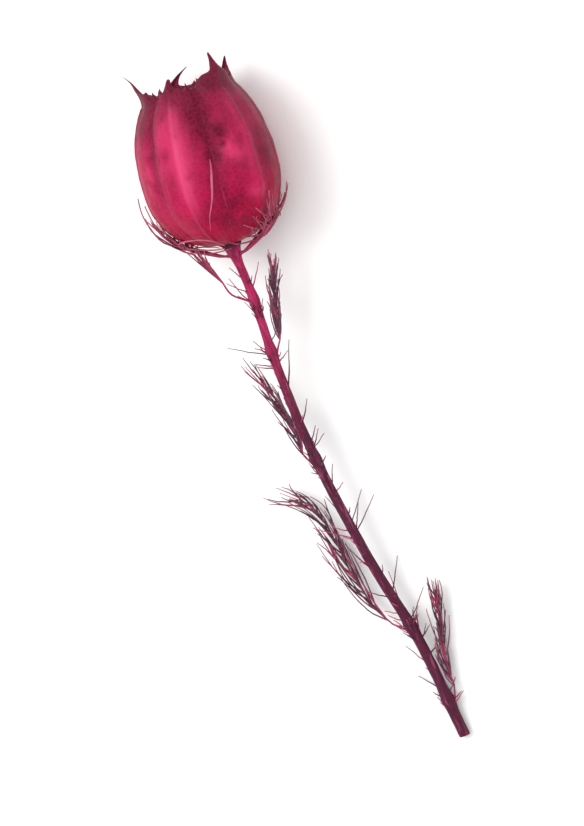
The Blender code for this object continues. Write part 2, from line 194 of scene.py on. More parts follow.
# The fifth bract, which grows lower down the stem
LOW_BRACT = -33
LOW_BRACT_NODE = 9.5 * MM
LOW_THREADS = 19
LOW_FILL = 3
# Leaves: distance down the stem, side, and the rib's further points from the capsule's base, in mm
LEAVES = (
    (18.0, 1, ((1.7, -13.4, 7.2), (3.2, -8.6, 7.5), (5.1, -4.6, 8.2))),
    (36.0, -1, ((-2.7, -31, 5.6), (-3.7, -25.5, 5.2), (-5.3, -19.2, 6.0))),
    (66.0, -1, (
        (-1.8, -60.8, 2.4), (-3.7, -54, 1.8), (-4.4, -47.5, 1.6), (-6.0, -42.4, 1.9), (-9.6, -38.8, 2.6),
    )),
    (79.0, 1, ((5.5, -72.5, 1.6), (6.9, -66.5, 1.5), (8.6, -60, 2.4))),
)
LEAF_THREADS = 9
LEAF_FILL = 5  # finer threads for each of the solid's
WISPS = 100

# Places where the dye has rubbed away or gathered, with painted highlights and painted shade among them:
# angle round the capsule, height, reach in mm, how strongly
# Rose places: some rubbed dye, and painted highlights on the lit upper right lobe and the left lobe
WORN_AND_HIGHLIGHT_SPOTS = (
    (41, 14.2, 3.8, 1.0), (53, 7.6, 2.6, 0.9), (-12, 14, 5, 0.3), (-24, 19, 6, 0.5), (-40, 14, 6, 0.55),
    (-34, 7, 7, 0.25), (-140, 14, 5, 0.4), (150, 8, 4, 0.35),
)
# Deep wine places: some gathered dye, and painted shade in the dents below the crown and down the right side,
# which faces away from the light
DEEP_DYE_AND_SHADE_SPOTS = (
    (26, 19, 5.0, 0.95), (24, 14, 3.0, 0.8), (35, 17.3, 1.6, 0.9), (33, 15.6, 1.0, 0.9), (6, 9, 4, 0.4),
    (6, 5.5, 4, 0.45), (40, 10.4, 3.4, 0.5), (34, 4.5, 6, 0.75), (76, 13, 8, 0.8), (80, 5, 6, 0.7),
    (6, 21, 4, 0.5), (-62, 20, 5, 0.5), (-150, 6, 5, 0.5), (120, 9, 5, 0.4),
)
CROWN_TOP = 1.12  # share of the rim's height where the colours up the capsule end
UNROLLED_RADIUS = 9 * MM

# Colours, linear
CRIMSON = (0.37, 0.004, 0.050, 1)
LOW_CRIMSON = (0.36, 0.001, 0.034, 1)
MAUVE = (0.30, 0.010, 0.052, 1)
CROWN_BROWN = (0.13, 0.010, 0.030, 1)
DEEP_WINE = (0.095, 0.001, 0.014, 1)
ROSE = (0.64, 0.036, 0.135, 1)
PALE_PINK = (0.82, 0.11, 0.23, 1)
STEM_ROSE = (0.46, 0.014, 0.105, 1)
STEM_BROWN = (0.082, 0.007, 0.030, 1)
STEM_PALE = (0.58, 0.13, 0.26, 1)
PITH = (0.62, 0.40, 0.33, 1)
PLUM = (0.050, 0.005, 0.022, 1)
THREAD_MAUVE = (0.16, 0.045, 0.10, 1)
THREAD_CRIMSON = (0.40, 0.012, 0.080, 1)
THREAD_PALE = (0.66, 0.24, 0.33, 1)
FLOOR_WHITE = (0.93, 0.93, 0.925, 1)
FLOOR_GREY = (0.88, 0.88, 0.88, 1)


# The capsule's place


def pod_frame():
    """The capsule's own frame: X across it, Y along its axis to the crown, Z away from the surface."""
    across = Vector((math.cos(POD_YAW), -math.sin(POD_YAW), 0))
    flat = Vector((math.sin(POD_YAW), math.cos(POD_YAW), 0))
    along_axis = flat * math.cos(POD_PITCH) + Vector((0, 0, math.sin(POD_PITCH)))
    turned = Matrix((across, along_axis, across.cross(along_axis))).transposed().to_4x4()
    return Matrix.Translation(POD_BASE) @ turned


POD_FRAME = pod_frame()
LAID_DOWN = Matrix(((0, 1, 0, 0), (0, 0, 1, 0), (1, 0, 0, 0), (0, 0, 0, 1)))  # from upright along Z


def wrapped(turn):
    """The same angle from -180 to 180 degrees."""
    return (turn + 180) % 360 - 180


def turned(turn):
    """Where an angle of the even carpels is on the capsule, whose front carpels are narrower. Degrees."""
    share = (wrapped(turn) - TURNED_FROM) / (TURNED_TO - TURNED_FROM)
    if not 0 < share < 1:
        return turn
    return turn - TURNED_BY * math.sin(math.pi * share**1.5) ** 2


def turned_from(turn):
    """The other way: which angle of the even carpels is turned to this one. Degrees."""
    even = turn
    for _ in range(12):
        even += turn - turned(even)
    return even


EVEN_TURNS = [turned_from(turn) for turn in range(362)]


def even_turn(turn):
    """The same as turned_from, read from a table."""
    n = int(turn % 360)
    even = EVEN_TURNS[n] + (EVEN_TURNS[n + 1] - EVEN_TURNS[n]) * (turn % 360 - n)
    return wrapped(even)


def upright(angle, radius, height):
    """A point of the capsule while it still stands upright at the origin. Angles in radians."""
    return Vector((radius * math.cos(angle), radius * math.sin(angle), height))


def pod_point(angle, radius, height):
    """The place where the capsule lies of a point of the even carpels."""
    return POD_FRAME @ LAID_DOWN @ upright(math.radians(turned(math.degrees(angle))), radius, height)


def wall(angle, climb):
    """(radius, height) on the capsule's wall. Climb is 0 at the base and a quarter turn at the widest."""
    radius = WIDEST_RADIUS * abs(math.sin(climb)) ** (2 / FULLNESS)
    away = UPPER_HEIGHT if climb > math.pi / 2 else -WIDEST_HEIGHT
    height = WIDEST_HEIGHT + away * abs(math.cos(climb)) ** (2 / FULLNESS)
    phase = abs((angle / math.radians(LOBE) + 0.5) % 1 - 0.5) * 2
    near_base = min(1, radius / (0.6 * WIDEST_RADIUS))
    depth = SUTURE_DEPTH * (0.75 + 0.5 * (height / RIM_HEIGHT) ** 2) * near_base**2
    crest = CREST_RISE * max(0, 1 - phase / 0.12) * min(1, radius / (0.5 * WIDEST_RADIUS))
    return radius * (1 - depth * (0.45 * phase + 0.55 * phase**2.6)) + crest, height


RIM_CLIMB = math.pi - math.acos(((RIM_HEIGHT - WIDEST_HEIGHT) / UPPER_HEIGHT) ** (FULLNESS / 2))


# Shaping


def pick(piece):
    bpy.ops.object.select_all(action="DESELECT")
    piece.select_set(True)
    bpy.context.view_layer.objects.active = piece


def begin_edit(piece):
    pick(piece)
    bpy.ops.object.mode_set(mode="EDIT")
    bpy.ops.mesh.select_mode(type="VERT")


def end_edit():
    bpy.ops.object.mode_set(mode="OBJECT")


def choose(piece, test, kind="VERT", at_opening=False):
    """Selects only the corners, edges or faces that pass the test at every corner."""
    bpy.ops.mesh.select_mode(type=kind)
    bpy.ops.mesh.select_all(action="DESELECT")
    mesh = bmesh.from_edit_mesh(piece.data)
    parts = {"VERT": mesh.verts, "EDGE": mesh.edges, "FACE": mesh.faces}[kind]
    for part in parts:
        corners = (part,) if kind == "VERT" else part.verts
        if at_opening and not part.is_boundary:
            continue
        if all(test(corner.co) for corner in corners):
            part.select_set(True)
    bmesh.update_edit_mesh(piece.data)


def pull(piece, place, by, reach, falloff):
    """Moves the corner nearest a place, and what is round it less and less, out to the reach in mm."""
    bpy.ops.mesh.select_all(action="DESELECT")
    mesh = bmesh.from_edit_mesh(piece.data)
    min(mesh.verts, key=lambda corner: (corner.co - place).length_squared).select_set(True)
    bmesh.update_edit_mesh(piece.data)
    bpy.ops.transform.translate(
        value=by,
        use_proportional_edit=True,
        proportional_edit_falloff=falloff,
        proportional_size=reach * MM,
    )


def scale(x, y, z, centre=(0, 0, 0)):
    bpy.ops.transform.resize(value=(x, y, z), center_override=centre)


def lift(height):
    bpy.ops.transform.translate(value=(0, 0, height))


def turn_on(degrees):
    """Turns what is selected round the upright axis."""
    bpy.ops.transform.rotate(value=math.radians(-degrees), orient_axis="Z", center_override=(0, 0, 0))


def draw_out(by):
    bpy.ops.mesh.extrude_region_move(TRANSFORM_OT_translate={"value": by})


def apply_modifier(piece, kind, **settings):
    made = piece.modifiers.new(kind.lower(), kind)
    for name, value in settings.items():
        setattr(made, name, value)
    bpy.context.view_layer.objects.active = piece
    bpy.ops.object.modifier_apply(modifier=made.name)


def uneven(piece, size, strength):
    """Pushes the surface in and out a little by a cloudy pattern of that size."""
    clouds = bpy.data.textures.new("unevenness", "CLOUDS")
    clouds.noise_scale = size
    clouds.noise_depth = 2
    apply_modifier(
        piece, "DISPLACE", texture=clouds, texture_coords="LOCAL", strength=strength, mid_level=0.5
    )


def place_piece(piece, matrix):
    piece.matrix_world = matrix
    pick(piece)
    bpy.ops.object.transform_apply(location=True, rotation=True, scale=True)


def rest_on_surface(piece):
    """Presses flat the little that would reach below the surface the pod lies on."""
    begin_edit(piece)
    choose(piece, lambda co: co.z < 0)
    scale(1, 1, 0)
    end_edit()


# Capsule


def turn_of(co):
    return math.degrees(math.atan2(co.y, co.x))


def from_crest(turn):
    """Degrees from the nearest crest of even carpels."""
    return abs((turn + LOBE / 2) % LOBE - LOBE / 2)


def ring_height(ring):
    return WIDEST_HEIGHT - WIDEST_RADIUS * math.cos(math.pi * ring / RINGS)


def gather_columns(piece):
    """Turns the sphere's columns about the axis, so that they stand close at each crest and suture."""
    goals = list(STATIONS) + [LOBE - station for station in STATIONS[-2:0:-1]]
    moves = [(COLUMN * n, goal) for n, goal in enumerate(goals)]
    back = [move for move in moves if move[1] < move[0]]
    forward = [move for move in reversed(moves) if move[1] > move[0]]
    for start, goal in back + forward:
        choose(piece, lambda co: abs(turn_of(co) % LOBE - start) < SAME_COLUMN)
        turn_on(goal - start)


def climb_of(ring):
    quarter = math.pi / 2
    if ring > WAIST_RING:
        return quarter + (RIM_CLIMB - quarter) * (ring - WAIST_RING) / (RIM_RING - WAIST_RING)
    return BASE_CLIMB + (quarter - BASE_CLIMB) * (ring - 1) / (WAIST_RING - 1)


def shape_wall(piece):
    """Draws each ring in or out to the capsule's wall, deepest at the sutures, and lifts it to its height."""
    for ring in [*range(1, WAIST_RING + 1), *range(RIM_RING, WAIST_RING, -1)]:
        height = ring_height(ring)

        def in_ring(co):
            return abs(co.z - height) < SAME_RING

        for station in STATIONS:
            choose(piece, lambda co: in_ring(co) and abs(from_crest(turn_of(co)) - station) < SAME_COLUMN)
            radius, _ = wall(math.radians(station), climb_of(ring))
            factor = radius / (WIDEST_RADIUS * math.sin(math.pi * ring / RINGS))
            scale(factor, factor, 1)
        choose(piece, in_ring)
        lift(wall(0, climb_of(ring))[1] - height)


def crown_section(carpel, station):
    """(radius, height) from the rim over the crown's edge into its dip, that many degrees from a crest."""
    rim_radius, rim_height = wall(math.radians(station), RIM_CLIMB)
    beak = (1 - station / (LOBE / 2)) ** BEAK_FALL
    rise = RIM_BEAD + (HORNS[carpel][2] * MM - RIM_BEAD) * beak
    points = [
        (rim_radius - BEAK_TUCK * share + BEAK_FLARE * beak * share**2, rim_height + rise * share)
        for share in (0, 0.35, 0.7, 1.0)
    ]
    top_radius, top_height = points[-1]
    inner_radius = top_radius - RIM_WALL * (1 - 0.35 * beak)
    inner_height = top_height - 0.12 * MM - 0.1 * rise * beak
    points.append((inner_radius, inner_height))
    for share in (0.2, 0.5, 0.8):
        height = CENTRE_HEIGHT + (inner_height - CENTRE_HEIGHT) * (1 - share) ** 2.2
        points.append((inner_radius * (1 - share), height))
    return points


def draw_crown(piece):
    """Draws the open edge up into five beaks, in over the crown's edge and down to the middle."""
    columns = [(carpel, station) for carpel in range(CARPELS) for station in STATIONS]
    for step in range(len(crown_section(0, 0)) - 1):
        choose(piece, lambda co: True, kind="EDGE", at_opening=True)
        draw_out((0, 0, 0))
        for carpel, station in columns:
            (last_radius, last_height), (radius, height) = crown_section(carpel, station)[step : step + 2]

            def here(co):
                off = abs(abs(wrapped(turn_of(co) - LOBE * carpel)) - station)
                drawn = station == STATIONS[-1] and abs(math.hypot(co.x, co.y) - last_radius) > SAME_RADIUS
                return off < SAME_COLUMN and not drawn

            choose(piece, here, at_opening=True)
            scale(radius / last_radius, radius / last_radius, 1)
            lift(height - last_height)
    choose(piece, lambda co: True, at_opening=True)
    bpy.ops.mesh.merge(type="CENTER")


def narrow_front(piece):
    """Turns the columns of the front carpels closer together."""
    turns = set()
    for carpel in range(CARPELS):
        turns.update(wrapped(LOBE * carpel + way * station) for station in STATIONS for way in (1, -1))
    for turn in sorted(turns):
        if turned(turn) < turn:
            choose(piece, lambda co: abs(turn_of(co) - turn) < SAME_COLUMN)
            turn_on(turned(turn) - turn)


def draw_horn(piece, carpel):
    """Draws the top of a beak out into its horn, narrowing as it goes."""
    lean, swing, beak, length = HORNS[carpel]
    crest = turned(LOBE * carpel)
    edge = RIM_HEIGHT + 0.55 * beak * MM

    def on_beak(co):
        off = abs(wrapped(turn_of(co) - crest))
        return off < BEAK_REACH and co.z > edge and math.hypot(co.x, co.y) > 0.5 * WIDEST_RADIUS

    choose(piece, on_beak, kind="FACE")
    mesh = bmesh.from_edit_mesh(piece.data)
    for face in mesh.faces:
        if face.select and face.normal.z < 0.5:
            face.select_set(False)
    bmesh.update_edit_mesh(piece.data)
    corners = [corner.co.copy() for corner in mesh.verts if corner.select]
    centre = sum(corners, Vector()) / len(corners)
    whole = (beak + length) * MM - HORN_ROOT
    radius = wall(0, RIM_CLIMB)[0] - 0.7 * MM
    start = (beak * MM - HORN_ROOT) / whole

    def route(share):
        return upright(
            math.radians(crest) + 0.12 * swing * share**2,
            radius + (0.35 * share + lean * share**2) * MM,
            HORN_ROOT + whole * (share - 0.1 * lean * share**3),
        )

    width = 1
    here = route(start)
    for step in range(1, HORN_STEPS + 1):
        share = step / HORN_STEPS
        new_width = 1 - (1 - HORN_TIPS[carpel]) * share**0.62
        there = route(start + (1 - start) * share)
        draw_out(there - here)
        centre += there - here
        factor = new_width / width
        scale(factor, factor, factor, centre)
        here, width = there, new_width


def raise_lines(piece):
    """Raises the fine rib down each crest and the thread-like line in each suture."""
    half = LOBE / 2

    def on_wall(co):
        return 1.2 * MM < co.z < RIM_HEIGHT and math.hypot(co.x, co.y) > 2.5 * MM

    def off_crest(co):
        return from_crest(even_turn(turn_of(co)))

    def in_front(co):
        return abs(turn_of(co) - turned(half)) < 5

    for reach, rise in SUTURE_LINE:
        choose(piece, lambda co: on_wall(co) and half - off_crest(co) < reach and not in_front(co))
        bpy.ops.transform.shrink_fatten(value=rise * MM)
    for reach, rise in CREST_LINE:
        choose(piece, lambda co: on_wall(co) and off_crest(co) < reach)
        bpy.ops.transform.shrink_fatten(value=rise * MM)


def push_bulges(piece):
    """Pulls the papery wall softly out, or presses it in, in a few places."""
    for angle, height, reach, push in BULGES:
        way = upright(math.radians(angle), 1, 0)
        place = way * 0.95 * WIDEST_RADIUS + Vector((0, 0, height * MM))
        pull(piece, place, way * push * MM, reach, "SMOOTH")


def nick_edge(piece):
    """Tears small nicks and teeth in the dry edge of the crown."""
    for angle, reach, rise in NICKS:
        edge = upright(math.radians(angle), 0.6 * WIDEST_RADIUS, RIM_HEIGHT + 1.5 * RIM_BEAD)
        pull(piece, edge, (0, 0, rise * MM), reach, "SHARP")


def make_capsule():
    bpy.ops.mesh.primitive_uv_sphere_add(
        segments=360 // COLUMN,
        ring_count=RINGS,
        radius=WIDEST_RADIUS,
        location=(0, 0, WIDEST_HEIGHT),
        rotation=(0, 0, math.radians(-COLUMN / 2)),
    )
    piece = bpy.context.object
    piece.name = "papery_capsule"
    place_piece(piece, piece.matrix_world.copy())
    begin_edit(piece)
    top = ring_height(RIM_RING) - 0.02 * MM
    choose(piece, lambda co: co.z > top, kind="FACE")
    bpy.ops.mesh.delete(type="FACE")
    gather_columns(piece)
    shape_wall(piece)
    draw_crown(piece)
    narrow_front(piece)
    for carpel in range(CARPELS):
        draw_horn(piece, carpel)
    end_edit()
    apply_modifier(piece, "SUBSURF", levels=2, render_levels=2)
    begin_edit(piece)
    raise_lines(piece)
    push_bulges(piece)
    nick_edge(piece)
    end_edit()
    uneven(piece, 3.2 * MM, 0.22 * MM)
    uneven(piece, 0.9 * MM, 0.05 * MM)
    place_piece(piece, POD_FRAME @ LAID_DOWN)
    rest_on_surface(piece)
    return piece


# Stem


def smooth_route(points, steps):
    """A Catmull-Rom curve through the points, with that many steps from each to the next."""
    ends = [points[0] * 2 - points[1], *points, points[-1] * 2 - points[-2]]
    route = []
    for a, b, c, d in zip(ends, ends[1:], ends[2:], ends[3:]):
        for step in range(steps):
            t = step / steps
            bend = (2 * a - 5 * b + 4 * c - d) * t**2 + (3 * b - a - 3 * c + d) * t**3
            route.append((2 * b + (c - a) * t + bend) / 2)
    return [*route, points[-1].copy()]


def lengths_along(route):
    lengths = [0]
    for a, b in zip(route, route[1:]):
        lengths.append(lengths[-1] + (b - a).length)
    return lengths


def stem_route():
    drop = POD_BASE.z - STEM_END_RADIUS + 0.05 * MM
    points = []
    for x, y in STEM_ROUTE:
        share = y / STEM_ROUTE[-1][1]
        lift_off = 0.35 * math.sin(math.pi * share)
        points.append(POD_BASE + Vector((x * MM, y * MM, lift_off * MM - drop * share)))
    return smooth_route(points, 12)


STEM = stem_route()
STEM_LENGTHS = lengths_along(STEM)


def stem_at(distance):
    """The point that far down the stem, and the direction back up it."""
    n = max(k for k in range(len(STEM) - 1) if STEM_LENGTHS[k] <= max(distance, 0))
    share = (distance - STEM_LENGTHS[n]) / (STEM_LENGTHS[n + 1] - STEM_LENGTHS[n])
    return STEM[n].lerp(STEM[n + 1], share), (STEM[n] - STEM[n + 1]).normalized()


def stem_radius(distance):
    taper = STEM_TOP_RADIUS + (STEM_END_RADIUS - STEM_TOP_RADIUS) * distance / STEM_LENGTH
    seat = max(0, 1 - max(distance, 0) / SEAT_LENGTH) ** 1.5 * (SEAT_RADIUS - STEM_TOP_RADIUS)
    nodes = [BRACT_NODE, LOW_BRACT_NODE] + [leaf[0] * MM for leaf in LEAVES]
    swell = sum(NODE_SWELL * math.exp(-(((distance - node) / (1.2 * MM)) ** 2)) for node in nodes)
    return taper + seat + swell


def make_stem():
    """A ribbed disc drawn out along the stem's route, from the seat inside the capsule to the cut."""
    first = -0.5 * MM
    start, _ = stem_at(first)
    sides = 4 * STEM_RIBS
    bpy.ops.mesh.primitive_circle_add(
        vertices=sides, radius=stem_radius(0), fill_type="NGON", location=start, rotation=(math.pi / 2, 0, 0)
    )
    piece = bpy.context.object
    piece.name = "ribbed_stem"
    place_piece(piece, piece.matrix_world.copy())
    begin_edit(piece)
    groove = math.tau / STEM_RIBS

    def in_groove(co):
        turn = math.atan2(co.z - start.z, co.x - start.x)
        return abs((turn / groove) % 1 - 0.5) < 0.1

    choose(piece, in_groove)
    scale(0.86, 1, 0.86, start)
    choose(piece, lambda co: True, kind="FACE")
    end = STEM_LENGTHS[-1]
    stations = [0.45 * MM * n for n in range(12)]
    stations += [stations[-1] + (end - stations[-1]) * n / 96 for n in range(1, 97)]
    here, radius = start, stem_radius(0)
    for station in stations:
        there, _ = stem_at(station)
        draw_out(there - here)
        new_radius = stem_radius(station)
        scale(new_radius / radius, 1, new_radius / radius, there)
        here, radius = there, new_radius
    bpy.ops.mesh.inset(thickness=0.12 * MM)
    bpy.ops.mesh.inset(thickness=0.2 * MM)
    bpy.ops.transform.translate(value=(0, 0.25 * MM, 0))
    bpy.ops.mesh.inset(thickness=0.15 * MM)
    bpy.ops.mesh.select_all(action="SELECT")
    bpy.ops.mesh.normals_make_consistent(inside=False)
    end_edit()
    apply_modifier(piece, "SUBSURF", levels=1, render_levels=1)
    uneven(piece, 1.6 * MM, 0.1 * MM)
    rest_on_surface(piece)
    return piece


# Threads of the bracts and leaves


def wander(route, draw, amount):
    """A finer route with small bends of its own, and its first point kept."""
    fine = smooth_route(route, 3)
    drift = Vector()
    for n in range(1, len(fine)):
        drift = drift * 0.7 + Vector([draw.uniform(-1, 1) for _ in range(3)]) * amount
        fine[n] = fine[n] + drift
    return fine


def thin_thread(route, draw, bends=0.035, thick=1.0):
    """A thread's route, with small bends of up to that many mm, and its radius at the root and the tip."""
    return wander(route, draw, bends * MM), thick * THREAD_RADIUS, THREAD_TIP


def draw_threads(name, threads, redness=0.0):
    """Round tapering threads along their routes, as one mesh that knows how far along each of them it is.
    Each has a shade, from 0 for a dark one over 1 for a crimson one to 2 for one that is pale all along."""
    drawn = bpy.data.curves.new(name, "CURVE")
    drawn.dimensions = "3D"
    drawn.bevel_depth = 1
    drawn.bevel_resolution = 1
    drawn.use_fill_caps = True
    marks = []
    for number, (route, thick, thin, *given) in enumerate(threads):
        spline = drawn.splines.new("POLY")
        spline.points.add(len(route) - 1)
        shade = given[0] if given else redness + (1 - redness) * random.Random(number).random()
        for n, (place, point) in enumerate(zip(route, spline.points)):
            share = n / (len(route) - 1)
            point.co = (*place, 1)
            point.radius = thick + (thin - thick) * share
            marks.append((place, share, shade))
    piece = bpy.data.objects.new(name, drawn)
    bpy.context.scene.collection.objects.link(piece)
    pick(piece)
    bpy.ops.object.convert(target="MESH")
    piece = bpy.context.object
    near = KDTree(len(marks))
    for n, mark in enumerate(marks):
        near.insert(mark[0], n)
    near.balance()
    shares = piece.data.attributes.new("along", "FLOAT", "POINT")
    shades = piece.data.attributes.new("shade", "FLOAT", "POINT")
    for n, corner in enumerate(piece.data.vertices):
        mark = marks[near.find(corner.co)[1]]
        shares.data[n].value = mark[1]
        shades.data[n].value = mark[2]
    piece.data.shade_smooth()
    return piece


def off_wall(angle, climb, off):
    """A point that far off the capsule's wall, and bent aside where the surface leaves no room below."""
    radius, height = wall(angle, climb)
    radius_on, height_on = wall(angle, climb + 0.02)
    out = Vector((height_on - height, radius - radius_on)).normalized() * off
    radius, height = radius + out.x, height + out.y
    room = POD_BASE.z + height * math.sin(POD_PITCH) - SOLID_THREAD - FLOOR_CLEARANCE
    least = math.acos(min(1, room / (radius * math.cos(POD_PITCH))))
    angle = math.copysign(math.pi - math.hypot(math.pi - abs(angle), least), angle)
    return pod_point(angle, radius, height)


def climbing_line(start, end, wave):
    """Where a thread is at t, from 0 at its root to 1 at its tip, as (angle round, climb, distance off)."""

    def at(t):
        angle = start[0] + (end[0] - start[0]) * (1 - (1 - t) ** 1.8) + wave * math.sin(5 * t)
        return angle, start[1] + (end[1] - start[1]) * t, start[2] + (end[2] - start[2]) * t**2

    return at


def make_bract(number):
    """A bract of the ruff: its rib runs out under the capsule, and its threads climb the wall."""
    centre, spread, top, count = BRACTS[number]
    centre, spread, top = math.radians(centre), math.radians(spread), math.radians(top)
    node, _ = stem_at(BRACT_NODE)
    outward = (pod_point(centre, 1, 0) - pod_point(centre, 0, 0)).normalized()
    low, _ = stem_at(BRACT_NODE + 1.6 * MM)
    rib = [low, node + outward * 0.8 * MM, node.lerp(POD_BASE, 0.12) + outward * 2.1 * MM]
    for climb, off in ((20, 1.35), (30, 1.2), (40, 1.1)):
        rib.append(off_wall(centre, math.radians(climb), off * MM))
    rib = smooth_route(rib, 4)
    threads = [(rib, RIB_RADIUS, THREAD_RADIUS)]
    total = BRACT_FILL * (count - 1) + 1
    for n in range(total):
        follows = n % BRACT_FILL == 0
        draw = random.Random(100 * number + n // BRACT_FILL if follows else 7000 + 100 * number + n)
        side = 2 * n / (total - 1) - 1
        if number == BARE_BRACT and side < BARE_SIDE and not follows:
            continue
        start = (centre, math.radians(37 - 15 * abs(side)), 1.1 * MM)
        high = top * (1 - 0.22 * abs(side) + draw.uniform(-0.14, 0.1))
        if number == BARE_BRACT:
            high *= BARE_CLIMB
        end = (centre + spread * side, high, draw.uniform(0.5, 1.2) * MM)
        line = climbing_line(start, end, draw.uniform(-0.05, 0.05))
        if not follows:
            end = (end[0], high * draw.uniform(0.6, 1.0), draw.uniform(0.3, 1.2) * MM)
            line = climbing_line(start, end, draw.uniform(-0.16, 0.16))
        route = rib[4 : draw.choice((8, 10, 12)) : 3]
        route += [off_wall(*line(step / 5)) for step in range(1, 6)]
        threads.append(thin_thread(route, draw))
        if n % 2:
            aside = (end[0] + draw.choice((-0.3, 0.3)), end[1] - draw.uniform(0.05, 0.35), end[2] + 0.1 * MM)
            fork = climbing_line(line(draw.uniform(0.15, 0.5)), aside, draw.uniform(-0.06, 0.06))
            route = [off_wall(*fork(step / 4)) for step in range(5)]
            threads.append(thin_thread(route, draw, thick=0.8))
    for shade, crossing in CROSSINGS[number]:
        draw = random.Random(9000 + number)
        route = []
        for turn, climb, off in crossing:
            route.append(off_wall(math.radians(even_turn(turn)), math.radians(climb), off * MM))
        threads.append((wander(route, draw, 0.01 * MM), 1.1 * THREAD_RADIUS, 1.5 * THREAD_TIP, shade))
    return draw_threads(f"bract_threads_{number + 1}", threads, redness=0.45)


def make_low_bract():
    """The bract a little way down the stem, which ends in a spray under the capsule's left side."""
    angle = math.radians(LOW_BRACT)
    node, _ = stem_at(LOW_BRACT_NODE)
    low, _ = stem_at(LOW_BRACT_NODE + 1.5 * MM)
    outward = (pod_point(angle, 1, 0) - pod_point(angle, 0, 0)).normalized()
    rib = [node + outward * 0.9 * MM]
    for radius, height in ((2.7, -7.6), (3.9, -5.2), (5, -2.9)):
        rib.append(pod_point(angle, radius * MM, height * MM))
    threads = [(smooth_route([low, *rib], 5), RIB_RADIUS, THREAD_RADIUS)]
    for n in range(LOW_THREADS):
        follows = n % LOW_FILL == 0
        draw = random.Random(900 + n // LOW_FILL if follows else 7900 + n)
        side = 2 * n / (LOW_THREADS - 1) - 1
        root = rib[1].lerp(rib[3], 0.95 - 0.5 * abs(side))
        tip = off_wall(angle + math.radians(15) * side, math.radians(draw.uniform(33, 41)), 1.5 * MM)
        bulge = (root - node).normalized() * draw.uniform(0.2, 0.7) * MM
        if not follows:
            tip = root.lerp(tip, draw.uniform(0.55, 0.95))
        route = [root, root.lerp(tip, 0.35) + bulge, root.lerp(tip, 0.7) + bulge, tip]
        threads.append(thin_thread(route, draw, bends=0.03))
    return draw_threads("bract_threads_5", threads, redness=0.35)


def on_capsule(capsule, turn, height, off):
    """The place on the finished capsule at an angle and height, and that far off it. Degrees and mm."""
    laid = POD_FRAME @ LAID_DOWN
    axis = laid @ Vector((0, 0, height * MM))
    start = laid @ upright(math.radians(turn), 1.5 * WIDEST_RADIUS, height * MM)
    _, place, normal, _ = capsule.ray_cast(start, (axis - start).normalized())
    return place + normal * off * MM


def make_fibre(capsule):
    """The pale torn edge of the capsule's front suture, thickest in its upper part."""
    bpy.context.view_layer.update()
    fibre = smooth_route([on_capsule(capsule, *point) for point in FIBRE], 4)
    upper, lower = fibre[FIBRE_TEAR::-1], fibre[FIBRE_TEAR:]
    thick, pale = 1.6 * THREAD_RADIUS, 1.6
    threads = [(upper, thick, THREAD_TIP, pale), (lower, thick, 0.5 * THREAD_TIP, pale)]
    return draw_threads("wall_fibre", threads)


def make_wisps():
    """Short hairs and broken bits of leaf along the stem, closest together at its nodes."""
    draw = random.Random(55)
    nodes = [LOW_BRACT_NODE / MM] + [leaf[0] for leaf in LEAVES]
    threads = []
    for n in range(WISPS):
        distance = draw.choice(nodes) + draw.gauss(0, 1.5) if n % 2 else draw.uniform(5, 83)
        distance = min(max(distance, 4), 83.5) * MM
        middle, up_stem = stem_at(distance)
        level = up_stem.cross(Vector((0, 0, 1))).normalized()
        upward = level.cross(up_stem)
        turn = draw.uniform(-0.35, 1.35) * math.pi
        out = level * math.cos(turn) + upward * math.sin(turn)
        length = draw.uniform(1.2, 3.2) if n % 4 else draw.uniform(4, 8)
        lean = draw.uniform(0.25, 0.8)
        start = middle + out * 0.8 * stem_radius(distance)
        route = [start]
        for share in (0.3, 0.6, 1.0):
            off = out * (stem_radius(distance) + length * MM * lean * share)
            point = middle + up_stem * length * MM * share * (1.2 - lean) + off
            route.append(Vector((point.x, point.y, max(point.z, THREAD_RADIUS + FLOOR_CLEARANCE))))
        threads.append((wander(route, draw, 0.05 * MM), draw.uniform(0.6, 1.0) * THREAD_RADIUS, THREAD_TIP))
    return draw_threads("stem_wisps", threads)


def keep_clear(point, radius):
    """Moves a leaf's point away from the stem, or up off the surface, where it would touch them."""
    n = min(range(len(STEM)), key=lambda k: (STEM[k] - point).length_squared)
    away = point - STEM[n]
    least = stem_radius(STEM_LENGTHS[n]) + radius + 0.3 * MM
    if away.length < least:
        point = STEM[n] + away.normalized() * least
    return Vector((point.x, point.y, max(point.z, radius + FLOOR_CLEARANCE)))


def along(route, share):
    """The point at that share of the route, or straight on past its end, and the direction there."""
    place = share * (len(route) - 1)
    n = min(int(place), len(route) - 2)
    step = route[n + 1] - route[n]
    return route[n] + step * (place - n), step.normalized()


